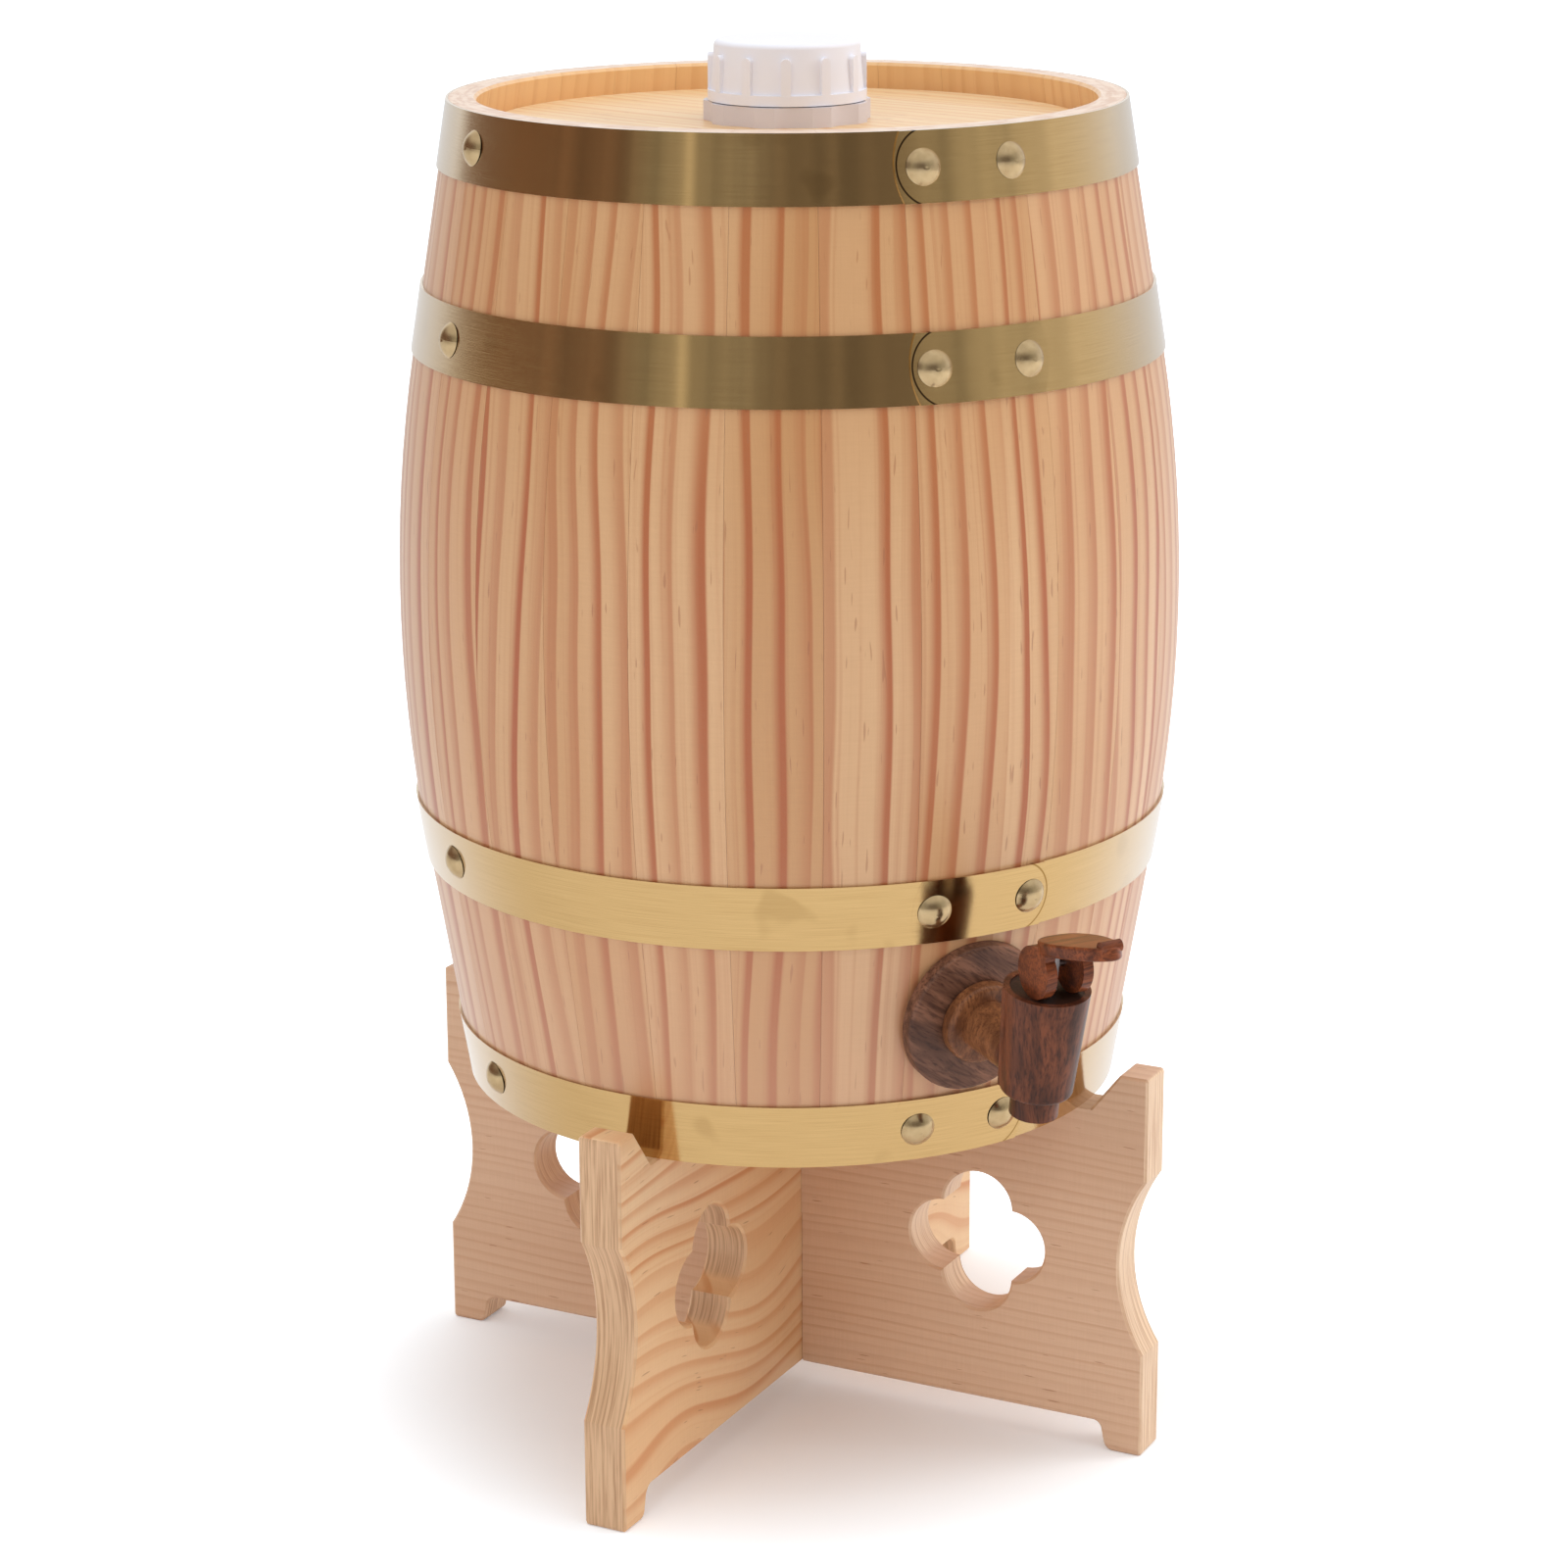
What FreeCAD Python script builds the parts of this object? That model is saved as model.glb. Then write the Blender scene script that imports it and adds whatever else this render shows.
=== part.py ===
import FreeCAD, Part
import math
import os

# Upright wooden drinks cask on a cross-lapped stand, with a lever tap low on
# its front and a screw cap on its top. Millimetres, +Z up, the tap faces -Y.
# An azimuth is counted from -Y towards +X, as seen from above.

V = FreeCAD.Vector
UP = V(0, 0, 1)
ORIGIN = V(0, 0, 0)
FULL_TURN = 360.0

# Cask
cask_height = 390.0
rim_radius = 130.0
belly_radius = 154.0
belly_arc_half = 98.0          # the staves are bent this far above and below the middle
stave_wall = 11.0
stave_count = 26
tap_stave_degrees = 22.0       # the tap stave is the widest one
joint_gap = 0.1                # between neighbouring staves
chime_bevel = 1.2              # eased inner edge of the stave ends

# Heads
head_recess = 10.0
head_thickness = 12.0
head_edge = 7.0                # thickness left at the bevelled edge of a head
groove_depth = 3.0
groove_gap = 0.15
head_tongue_gap = 0.6          # the full thickness starts this far inside the staves
head_bevel_run = 6.0

# Hoops, counted from the floor up: lower edge above the end of the cask
hoop_width = 25.5
hoop_thickness = 1.0
hoop_gap = 0.05
hoop_lows = (0.0, 91.0, 294.0, cask_height - hoop_width)
hoop_flips = (True, True, False, False)
lap_half_length = 29.5
rivet_azimuths = (-8.0, 8.0, 90.0, 180.0, 270.0)
rivet_head_radius = 6.75
rivet_head_height = 3.4
rivet_shank_radius = 1.3
rivet_shank_length = 6.5
rivet_hole_spare = 0.5         # the hole is this much deeper than the shank
rivet_hole_gap = 0.35
rivet_seat_gap = 0.08

# Stand of two boards, halved into each other
board_thickness = 18.0
horn_clearance = 6.0           # from the cask's rim to the horns' inner foot
horn_foot = rim_radius + horn_clearance
horn_width = 24.5              # of a horn at its inner foot
board_half_length = horn_foot + horn_width
seat_height = 144.0            # the cask stands on the boards here
horn_height = 16.0             # horns rise this far beside the cask
stand_height = seat_height + horn_height
foot_height = 12.0
foot_width = 15.5
foot_inner = board_half_length - foot_width
foot_lean = 2.6
foot_round = 4.0
waist_low = 43.5
waist_high = 117.0
waist_depth = 11.0
horn_top_length = 12.0
board_ease = 1.0
quatrefoil_centre = 88.0
quatrefoil_height = 80.0
lobe_offset = 14.5
lobe_radius = 15.0
lap_joint_gap = 0.2
first_board_azimuth = -56.0

# Inner tank
tank_gap = 1.0
tank_wall = 3.0
tank_round = 18.0
neck_radius = 25.0
neck_wall = 3.5
neck_hole_gap = 0.6

# Collar nut, cap and cap seal
nut_radius = 32.3
nut_height = 7.6
nut_scallops = 9
nut_scallop_radius = 20.0
nut_scallop_depth = 2.2
nut_scallop_turn = -25.0
thread_gap = 0.3
cap_gap = 0.4                  # between the nut and the cap screwed down
cap_band_radius = 30.6
cap_band_height = 4.0
cap_foot_radius = 29.4
cap_top_radius = 28.0
cap_height = 22.8
cap_top_wall = 2.5
cap_edge_round = 2.0
cap_ribs = 12
cap_rib_width = 3.8
cap_rib_top = 5.0              # the ribs end this far under the top of the cap
seal_thickness = 2.0

# Tap: its own frame starts where the shank axis leaves the rosette's front,
# distances run outwards along the shank and heights along the body
tap_height = 58.7              # where the shank axis meets the stave, above the cask's end
rosette_radius = 30.0
rosette_thickness = 5.2
rosette_edge_round = 1.4
washer_radius = 15.2
washer_thickness = 0.8
hub_radius = 16.2
hub_length = 5.4
hub_round = 2.2
stem_radius_hub = 10.2
stem_radius_body = 8.4
shank_radius = 9.4
shank_hole_gap = 1.0
shank_bore_radius = 5.0
boss_radius = 16.0
boss_length = 14.0
boss_bore_gap = 0.1
boss_seal_thickness = 2.0
boss_seal_width = 3.5
body_reach = 42.6              # body axis from the rosette's front
body_top = 33.7
body_bottom = -8.8
body_top_radius = 16.2
body_bottom_radius = 13.6
body_flank_back = 6.0          # flat flanks run from the body's middle this far back
body_flank_inset = 0.4
body_foot_round = 2.0
nozzle_radius = 9.2
nozzle_end = -18.0
nozzle_bore_radius = 6.0
chamber_radius = 10.0
chamber_floor = -6.0
bonnet_radius = 13.7
bonnet_head = 3.6
bonnet_sink = 0.6              # top of the bonnet under the rim of the body
bonnet_gap = 0.1
bonnet_spigot_end = 20.0

# Valve
plunger_radius = 3.4
plunger_gap = 0.1
collar_radius = 8.4
collar_low = 5.5
collar_high = 8.0
plunger_head_above_pin = 4.2
seat_seal_radius = 8.4
seat_seal_height = 4.0
seat_seal_lip = 6.6
stem_ring_width = 2.1
stem_ring_height = 2.0
spring_radius = 7.4
spring_wire = 0.6
spring_turns = 4
spring_seat_gap = 0.05
pin_radius = 1.6
pin_gap = 0.08

# Lever
cheek_radius = 10.0
cheek_throw = 4.0              # centre of the cheeks in front of the pin
cheek_gap = 0.15               # cheeks over the bonnet at rest
fork_inner = 5.6
fork_outer = 9.9
neck_back = 0.5                # necks between cheeks and paddle, in front of the pin
neck_front = 11.0
pin_cover = 1.2                # left over each end of the pin
paddle_pitch = 19.0
paddle_thickness = 5.0
paddle_rise = 6.2              # underside of the paddle above the pin, over the pin
paddle_outline = ((0.0, 0.0), (2.6, 7.2), (11.0, 10.8), (21.0, 10.9), (31.0, 8.6), (39.0, 5.0), (42.5, 0.0))
lip_radius = 2.3               # rolled lip across the tip
lip_half_length = 4.2
lip_from_tip = 3.2
paddle_edge_round = 1.0
lever_travel = 40.0            # degrees pressed down
cap_turns = 2.0
cap_pitch = 6.0


def bend_angle():
    """Slope of the straight stave ends, tangent to the bent middle."""
    drop = belly_radius - rim_radius
    half = cask_height / 2
    low = 0.0
    high = math.radians(45)
    for _ in range(60):
        angle = (low + high) / 2
        fall = belly_arc_half * math.tan(angle / 2) + (half - belly_arc_half) * math.tan(angle)
        if fall < drop:
            low = angle
        else:
            high = angle
    return low


stave_slope = bend_angle()
middle = cask_height / 2
arc_end_radius = belly_radius - belly_arc_half * math.tan(stave_slope / 2)
belly_bend_radius = belly_arc_half / math.sin(stave_slope)


def surface_radius(height):
    """Outer radius of the staves at a height above the cask's lower end."""
    away = abs(height - middle)
    if away > belly_arc_half:
        return arc_end_radius - (away - belly_arc_half) * math.tan(stave_slope)
    return belly_radius - belly_bend_radius + math.sqrt(belly_bend_radius ** 2 - away ** 2)


def surface_lean(height):
    """How far the outward normal of the staves leans up, in degrees."""
    away = height - middle
    if abs(away) > belly_arc_half:
        return math.copysign(math.degrees(stave_slope), away)
    return math.degrees(math.asin(away / belly_bend_radius))


def side_edges(offset):
    """The side of the cask as edges in the XZ plane, from the lower end up."""
    low = V(rim_radius + offset, 0, 0)
    bend_low = V(arc_end_radius + offset, 0, middle - belly_arc_half)
    belly = V(belly_radius + offset, 0, middle)
    bend_high = V(arc_end_radius + offset, 0, middle + belly_arc_half)
    high = V(rim_radius + offset, 0, cask_height)
    return [Part.makeLine(low, bend_low),
            Part.Arc(bend_low, belly, bend_high).toShape(),
            Part.makeLine(bend_high, high)]


def revolved(edges, degrees=FULL_TURN):
    """A closed outline in the XZ plane, turned about the Z axis."""
    face = Part.Face(Part.Wire(Part.__sortEdges__(edges)))
    return face.revolve(ORIGIN, UP, degrees)


def polygon_edges(points):
    """Straight edges through the points and back to the first."""
    return [Part.makeLine(a, b) for a, b in zip(points, points[1:] + points[:1])]


def turned_profile(pairs):
    """A solid of revolution from (radius, height) corners."""
    return revolved(polygon_edges([V(r, 0, z) for r, z in pairs]))


def cask_solid(offset):
    """The whole cask as one solid, grown outwards by the offset."""
    edges = side_edges(offset)
    edges.append(Part.makeLine(V(rim_radius + offset, 0, cask_height), V(0, 0, cask_height)))
    edges.append(Part.makeLine(V(0, 0, cask_height), ORIGIN))
    edges.append(Part.makeLine(ORIGIN, V(rim_radius + offset, 0, 0)))
    return revolved(edges)


def slab(low, high):
    """Everything between two heights."""
    reach = 2 * belly_radius
    return Part.makeCylinder(reach, high - low, V(0, 0, low))


def ring(outer, inner, low, high):
    """A plain ring about the Z axis."""
    body = Part.makeCylinder(outer, high - low, V(0, 0, low))
    reach = high - low + 2
    return body.cut(Part.makeCylinder(inner, reach, V(0, 0, low - 1)))


def turn(shape, azimuth):
    """A copy of a shape made at -Y, turned to an azimuth."""
    copy = shape.copy()
    copy.rotate(ORIGIN, UP, azimuth)
    return copy


def neck_height():
    """How far the tank's neck stands over the top head, up to the cap's seal."""
    return nut_height + cap_gap + cap_height - cap_top_wall - seal_thickness


def head_heights():
    """Lower and upper face of the bottom head, then of the top head."""
    bottom = (head_recess, head_recess + head_thickness)
    top = (cask_height - head_recess - head_thickness, cask_height - head_recess)
    return bottom, top


def stave_profile():
    """Cross-section of a stave, with the two grooves that hold the heads."""
    def inner(height):
        return surface_radius(height) - stave_wall

    def at(height, deeper=0.0):
        return V(inner(height) + deeper, 0, height)

    bottom, top = head_heights()
    margin = (head_thickness - head_edge) / 2 - groove_gap
    low = (bottom[0] + margin, bottom[1] - margin)
    high = (top[0] + margin, top[1] - margin)
    deep = groove_depth + groove_gap
    edges = side_edges(0.0)
    top_inner = V(inner(cask_height) + chime_bevel, 0, cask_height)
    edges.append(Part.makeLine(V(rim_radius, 0, cask_height), top_inner))
    down = [top_inner, at(cask_height - chime_bevel),
            at(high[1]), at(high[1], deep), at(high[0], deep), at(high[0]),
            at(middle + belly_arc_half)]
    edges += [Part.makeLine(a, b) for a, b in zip(down, down[1:])]
    edges.append(Part.Arc(at(middle + belly_arc_half), at(middle), at(middle - belly_arc_half)).toShape())
    bottom_inner = V(inner(0.0) + chime_bevel, 0, 0)
    down = [at(middle - belly_arc_half), at(low[1]), at(low[1], deep), at(low[0], deep),
            at(low[0]), at(chime_bevel), bottom_inner, V(rim_radius, 0, 0)]
    edges += [Part.makeLine(a, b) for a, b in zip(down, down[1:])]
    return Part.Face(Part.Wire(Part.__sortEdges__(edges)))


def stave_spans():
    """Start and end azimuth of each stave, the tap stave first."""
    step = (FULL_TURN - tap_stave_degrees) / (stave_count - 1)
    starts = [-tap_stave_degrees / 2]
    starts += [tap_stave_degrees / 2 + step * i for i in range(stave_count)]
    return list(zip(starts, starts[1:]))


def hoop_rivets(low):
    """Azimuth and height of each rivet of the hoop with this lower edge."""
    return [(azimuth, low + hoop_width / 2) for azimuth in rivet_azimuths]


def lap_rise(azimuth, flip):
    """Outer face of a hoop above its inner face, at one azimuth."""
    reach = math.degrees(lap_half_length / rim_radius)
    turned = (azimuth + 180) % FULL_TURN - 180
    if abs(turned) > reach:
        return hoop_thickness
    side = turned if flip else -turned
    return hoop_thickness * (1.5 + 0.5 * math.sin(math.radians(side)) / math.sin(math.radians(reach)))


def on_surface(shape, azimuth, height, offset):
    """A shape made along +Z, stood on the side of the cask."""
    lean = surface_lean(height)
    copy = shape.copy()
    copy.rotate(ORIGIN, V(1, 0, 0), 90 - lean)
    copy.translate(V(0, -(surface_radius(height) + offset), height))
    return turn(copy, azimuth)


def rivet_holes():
    """Cutters for the holes of all rivets, as (azimuth, cutter)."""
    depth = rivet_shank_length + rivet_hole_spare
    cutter = Part.makeCylinder(rivet_shank_radius + rivet_hole_gap, 3 * depth, V(0, 0, -depth))
    holes = []
    for low in hoop_lows:
        for azimuth, height in hoop_rivets(low):
            holes.append((azimuth, on_surface(cutter, azimuth, height, 0.0)))
    return holes


def staves(shank_cutter):
    """All staves, the tap stave drilled for the tap's shank."""
    profile = stave_profile()
    play = math.degrees(joint_gap / belly_radius)
    holes = rivet_holes()
    made = []
    for start, end in stave_spans():
        solid = profile.revolve(ORIGIN, UP, end - start - play)
        solid = turn(solid, start + play / 2 - 90)
        cutters = [c for azimuth, c in holes if (azimuth - start) % FULL_TURN < end - start]
        solid = solid.cut(Part.makeCompound(cutters)) if cutters else solid
        if start < 0 < end:
            solid = solid.cut(shank_cutter)
        made.append(solid)
    return made


def head(low, high, hole=0.0):
    """A head with its bevelled edge in the groove, and a hole for the neck."""
    middle_height = (low + high) / 2
    tongue_low = middle_height - head_edge / 2
    tongue_high = middle_height + head_edge / 2
    wall_low = surface_radius(tongue_low) - stave_wall
    wall_high = surface_radius(tongue_high) - stave_wall
    mouth = min(wall_low, wall_high) - head_tongue_gap
    inset = mouth - head_bevel_run
    pairs = [(hole, low), (inset, low), (mouth, tongue_low), (wall_low + groove_depth, tongue_low),
             (wall_high + groove_depth, tongue_high), (mouth, tongue_high), (inset, high), (hole, high)]
    return turned_profile(pairs)


def hoop(low, flip):
    """A riveted hoop: one strip whose rounded end laps over its start."""
    high = low + hoop_width
    band = cask_solid(hoop_gap + hoop_thickness).common(slab(low, high))
    band = band.cut(cask_solid(hoop_gap))
    reach = math.degrees(lap_half_length / rim_radius)
    shift = 0.5 * hoop_thickness / math.sin(math.radians(reach))
    tongue = cask_solid(hoop_gap + 1.5 * hoop_thickness)
    tongue.translate(V(shift if flip else -shift, 0, 0))
    tongue = tongue.common(slab(low, high))
    end = Part.makeCylinder(lap_half_length, 2 * belly_radius, V(0, 0, (low + high) / 2), V(0, -1, 0))
    tongue = tongue.common(end).cut(cask_solid(hoop_gap + 0.5 * hoop_thickness))
    solid = band.fuse(tongue)
    holes = [c for _, c in rivet_holes()]
    return solid.cut(Part.makeCompound(holes)).removeSplitter()


def rivet():
    """A domed rivet, standing along +Z."""
    r = rivet_head_radius
    h = rivet_head_height
    sphere = (r * r + h * h) / (2 * h)
    half_angle = math.asin(r / sphere)
    point = V(sphere * math.sin(half_angle / 2), 0, h - sphere + sphere * math.cos(half_angle / 2))
    s = rivet_shank_radius
    edges = [Part.Arc(V(r, 0, 0), point, V(0, 0, h)).toShape(),
             Part.makeLine(V(0, 0, h), V(0, 0, -rivet_shank_length)),
             Part.makeLine(V(0, 0, -rivet_shank_length), V(s, 0, -rivet_shank_length)),
             Part.makeLine(V(s, 0, -rivet_shank_length), V(s, 0, 0)),
             Part.makeLine(V(s, 0, 0), V(r, 0, 0))]
    return revolved(edges)


def hoop_rivet_set(low, flip):
    """The rivets of one hoop, as separate solids."""
    solids = []
    for azimuth, height in hoop_rivets(low):
        seat = hoop_gap + lap_rise(azimuth, flip) + rivet_seat_gap
        solids.append(on_surface(rivet(), azimuth, height, seat))
    return Part.makeCompound(solids)


def rounded_outline(corners):
    """Edges through (s, z, radius) corners, each corner rounded by its radius."""
    points = []
    count = len(corners)
    for i in range(count):
        before = V(corners[i - 1][0], corners[i - 1][1], 0)
        here = V(corners[i][0], corners[i][1], 0)
        after = V(corners[(i + 1) % count][0], corners[(i + 1) % count][1], 0)
        radius = corners[i][2]
        back = (before - here).normalize()
        on = (after - here).normalize()
        if radius <= 0:
            points.append((here, None, here))
            continue
        half = back.getAngle(on) / 2
        reach = radius / math.tan(half)
        middle_dir = (back + on).normalize()
        arc_mid = here + middle_dir * (radius / math.sin(half) - radius)
        points.append((here + back * reach, arc_mid, here + on * reach))
    edges = []
    for i in range(count):
        start, arc_mid, end = points[i]
        if arc_mid is not None:
            edges.append(Part.Arc(start, arc_mid, end).toShape())
        nxt = points[(i + 1) % count][0]
        if (nxt - end).Length > 1e-6:
            edges.append(Part.makeLine(end, nxt))
    return edges


def half_board():
    """One half of a stand board's outline, flat in the XY plane: s right, z up."""
    waist_mid = V(board_half_length - waist_depth, (waist_low + waist_high) / 2, 0)
    low = V(board_half_length, waist_low, 0)
    high = V(board_half_length, waist_high, 0)
    corners = [(0.0, foot_height, 0.0), (foot_inner - foot_lean, foot_height, foot_round),
               (foot_inner, 0.0, foot_round), (board_half_length, 0.0, 1.5),
               (board_half_length, stand_height, 1.5),
               (board_half_length - horn_top_length, stand_height, 1.5),
               (horn_foot, seat_height, 0.0), (0.0, seat_height, 0.0)]
    face = Part.Face(Part.Wire(Part.__sortEdges__(rounded_outline(corners))))
    bite = Part.Wire([Part.Arc(low, waist_mid, high).toShape(), Part.makeLine(high, low)])
    return face.cut(Part.Face(bite))


def quatrefoil_cutter():
    """Four round lobes, cut through a board."""
    shape = None
    for sx, sz in ((1, 0), (-1, 0), (0, 1), (0, -1)):
        centre = V(quatrefoil_centre + sx * lobe_offset, quatrefoil_height + sz * lobe_offset,
                   -board_thickness)
        lobe = Part.makeCylinder(lobe_radius, 2 * board_thickness, centre)
        shape = lobe if shape is None else shape.fuse(lobe)
    return shape.removeSplitter()


def stand_board(azimuth, slot_from_top):
    """A board with its horns, waists, feet and quatrefoils, halved at the middle."""
    solid = half_board().extrude(V(0, 0, board_thickness))
    solid.translate(V(0, 0, -board_thickness / 2))
    solid = solid.cut(quatrefoil_cutter())
    solid = solid.fuse(solid.mirror(ORIGIN, V(1, 0, 0))).removeSplitter()
    half_slot = board_thickness / 2 + lap_joint_gap
    halving = (foot_height + seat_height) / 2
    if slot_from_top:
        low = halving - lap_joint_gap / 2
        slot = Part.makeBox(2 * half_slot, seat_height, 2 * board_thickness,
                            V(-half_slot, low, -board_thickness))
    else:
        high = halving + lap_joint_gap / 2
        slot = Part.makeBox(2 * half_slot, high, 2 * board_thickness,
                            V(-half_slot, 0, -board_thickness))
    solid = solid.cut(slot)
    flat = board_thickness / 2
    rims = [e for e in solid.Edges
            if abs(abs(e.BoundBox.ZMin) - flat) < 0.01 and e.BoundBox.ZLength < 0.01
            and e.BoundBox.XLength + e.BoundBox.YLength > board_ease
            and not (abs(e.BoundBox.Center.x) < 2 * half_slot)]
    solid = solid.makeChamfer(board_ease, rims)
    solid.rotate(ORIGIN, V(1, 0, 0), 90)
    solid.rotate(ORIGIN, UP, azimuth - 90)
    return solid


def tank(shank_cutter, boss, seal_cutter):
    """Blown inner tank: a shell that follows the staves, with neck and tap boss."""
    bottom, top = head_heights()
    low = bottom[1] + tank_gap
    high = top[0] - tank_gap
    inset = -stave_wall - tank_gap
    outer = cask_solid(inset).common(slab(low, high))
    corner_edges = [e for e in outer.Edges
                    if isinstance(e.Curve, Part.Circle) and (e.BoundBox.ZLength < 0.01)
                    and (abs(e.BoundBox.ZMin - low) < 0.01 or abs(e.BoundBox.ZMin - high) < 0.01)]
    outer = outer.makeFillet(tank_round, corner_edges)
    inner = cask_solid(inset - tank_wall).common(slab(low + tank_wall, high - tank_wall))
    corner_edges = [e for e in inner.Edges
                    if isinstance(e.Curve, Part.Circle) and (e.BoundBox.ZLength < 0.01)
                    and (abs(e.BoundBox.ZMin - low - tank_wall) < 0.01
                         or abs(e.BoundBox.ZMin - high + tank_wall) < 0.01)]
    inner = inner.makeFillet(tank_round - tank_wall, corner_edges)
    neck_top = top[1] + neck_height()
    outer = outer.fuse(Part.makeCylinder(neck_radius, neck_top - high + tank_wall,
                                         V(0, 0, high - tank_wall)))
    shell = outer.cut(inner)
    shell = shell.cut(Part.makeCylinder(neck_radius - neck_wall, neck_top, V(0, 0, high - 2 * tank_wall)))
    pad = boss.common(cask_solid(inset))
    return shell.fuse(pad).cut(shank_cutter).cut(seal_cutter).removeSplitter()


def neck_nut(base):
    """Scalloped collar nut that clamps the head under the neck's thread."""
    solid = ring(nut_radius, neck_radius + thread_gap / 2, base, base + nut_height)
    away = nut_radius - nut_scallop_depth + nut_scallop_radius
    cutters = []
    for i in range(nut_scallops):
        cutter = Part.makeCylinder(nut_scallop_radius, 2 * nut_height, V(0, -away, base - nut_height / 2))
        cutters.append(turn(cutter, nut_scallop_turn + i * FULL_TURN / nut_scallops))
    return solid.cut(Part.makeCompound(cutters))


def filler_cap(base):
    """Screw cap with a plain band at its foot and round-ended ribs."""
    top = base + cap_height
    band_top = base + cap_band_height
    pairs = [(0.0, base), (cap_band_radius, base), (cap_band_radius, band_top),
             (cap_foot_radius, band_top), (cap_top_radius, top), (0.0, top)]
    solid = turned_profile(pairs)
    rib_end = top - cap_rib_top - cap_rib_width / 2
    half = cap_rib_width / 2
    bar = Part.makeBox(cap_rib_width, cap_band_radius, rib_end - band_top + 1.0,
                       V(-half, -cap_band_radius, band_top - 1.0))
    knob = Part.makeCylinder(half, cap_band_radius, V(0, 0, rib_end), V(0, -1, 0))
    limit = Part.makeCylinder(cap_band_radius - 0.1, cap_height, V(0, 0, base))
    rib = bar.fuse(knob).common(limit)
    for i in range(cap_ribs):
        solid = solid.fuse(turn(rib, i * FULL_TURN / cap_ribs))
    solid = solid.removeSplitter()
    rim = [e for e in solid.Edges
           if isinstance(e.Curve, Part.Circle) and abs(e.BoundBox.ZMin - top) < 0.01
           and e.BoundBox.ZLength < 0.01]
    solid = solid.makeFillet(cap_edge_round, rim)
    hollow = Part.makeCylinder(neck_radius + thread_gap, cap_height - cap_top_wall + 1.0, V(0, 0, base - 1.0))
    return solid.cut(hollow)


def to_tap(shape):
    """A shape made in the tap's frame, set square on the sloping stave."""
    copy = shape.copy()
    copy.rotate(ORIGIN, V(1, 0, 0), -surface_lean(tap_height))
    copy.translate(tap_origin)
    return copy


def along_shank(radius, start, end):
    """A cylinder on the shank axis between two distances from the rosette's front."""
    return Part.makeCylinder(radius, end - start, V(0, -start, 0), V(0, -1, 0))


def on_body(radius, low, high):
    """A cylinder on the body's axis between two heights."""
    return Part.makeCylinder(radius, high - low, V(0, -body_reach, low))


def shank_end():
    """How deep the shank reaches behind the rosette's front."""
    return rosette_thickness + stave_wall + tank_gap + boss_length - 1.0


def rosette():
    """Round escutcheon, flat on both faces, that touches the cask along one line."""
    disc = along_shank(rosette_radius, -rosette_thickness, 0.0)
    front = [e for e in disc.Edges
             if isinstance(e.Curve, Part.Circle) and abs(e.BoundBox.YMin) < 0.01]
    disc = disc.makeFillet(rosette_edge_round, front)
    return to_tap(disc.cut(along_shank(shank_radius + thread_gap, -rosette_thickness - 1.0, 1.0)))


def tap_washer():
    """Rubber washer between the rosette and the hub."""
    outer = along_shank(washer_radius, 0.0, washer_thickness)
    return to_tap(outer.cut(along_shank(shank_radius + thread_gap, -1.0, washer_thickness + 1.0)))


def flank_wire(half, height):
    """Outline of the flat flanks of the tap body at one height."""
    back = body_flank_back - body_reach
    corners = [V(-half, -body_reach, height), V(half, -body_reach, height),
               V(half, back, height), V(-half, back, height)]
    return Part.makePolygon(corners + corners[:1])


def tap_outer():
    """Outside of the tap body: shank, hub, stem, straight back and round front."""
    hub_end = washer_thickness + hub_length
    hub = along_shank(hub_radius, washer_thickness, hub_end)
    edge = [e for e in hub.Edges
            if isinstance(e.Curve, Part.Circle) and abs(e.BoundBox.YMin + hub_end) < 0.01]
    hub = hub.makeFillet(hub_round, edge)
    shank = along_shank(shank_radius, -shank_end(), washer_thickness + 1.0)
    stem = Part.makeCone(stem_radius_hub, stem_radius_body, body_reach - hub_end + 1.0,
                         V(0, -hub_end + 1.0, 0), V(0, -1, 0))
    height = body_top - body_bottom
    front = Part.makeCone(body_bottom_radius, body_top_radius, height, V(0, -body_reach, body_bottom))
    foot = [e for e in front.Edges
            if isinstance(e.Curve, Part.Circle) and abs(e.BoundBox.ZMax - body_bottom) < 0.01]
    front = front.makeFillet(body_foot_round, foot)
    low = flank_wire(body_bottom_radius - body_flank_inset, body_bottom + body_foot_round)
    high = flank_wire(body_top_radius - body_flank_inset, body_top)
    body = front.fuse(Part.makeLoft([low, high], True, True))
    nozzle = on_body(nozzle_radius, nozzle_end, body_bottom + 1.0)
    return hub.fuse([shank, stem, body, nozzle]).removeSplitter()


def tap_body():
    """Tap body with its inlet bore, valve chamber, seat and nozzle."""
    solid = tap_outer()
    solid = solid.cut(along_shank(shank_bore_radius, -shank_end() - 1.0, body_reach))
    solid = solid.cut(on_body(chamber_radius, chamber_floor, body_top + 1.0))
    solid = solid.cut(on_body(nozzle_bore_radius, nozzle_end - 1.0, chamber_floor + 1.0))
    seat = body_top - bonnet_sink - bonnet_head
    solid = solid.cut(on_body(bonnet_radius + bonnet_gap, seat, body_top + 1.0))
    return to_tap(solid.removeSplitter())


def bonnet():
    """Plug of the body: carries the cheeks, guides the plunger, holds the spring."""
    top = body_top - bonnet_sink
    solid = on_body(bonnet_radius, top - bonnet_head, top)
    solid = solid.fuse(on_body(chamber_radius - bonnet_gap, bonnet_spigot_end, top - 1.0))
    solid = solid.cut(on_body(plunger_radius + plunger_gap, 0.0, 2 * body_top))
    ring_seat = plunger_radius + stem_ring_width + plunger_gap
    solid = solid.cut(on_body(ring_seat, 0.0, bonnet_spigot_end + stem_ring_height))
    return to_tap(solid.removeSplitter())


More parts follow.
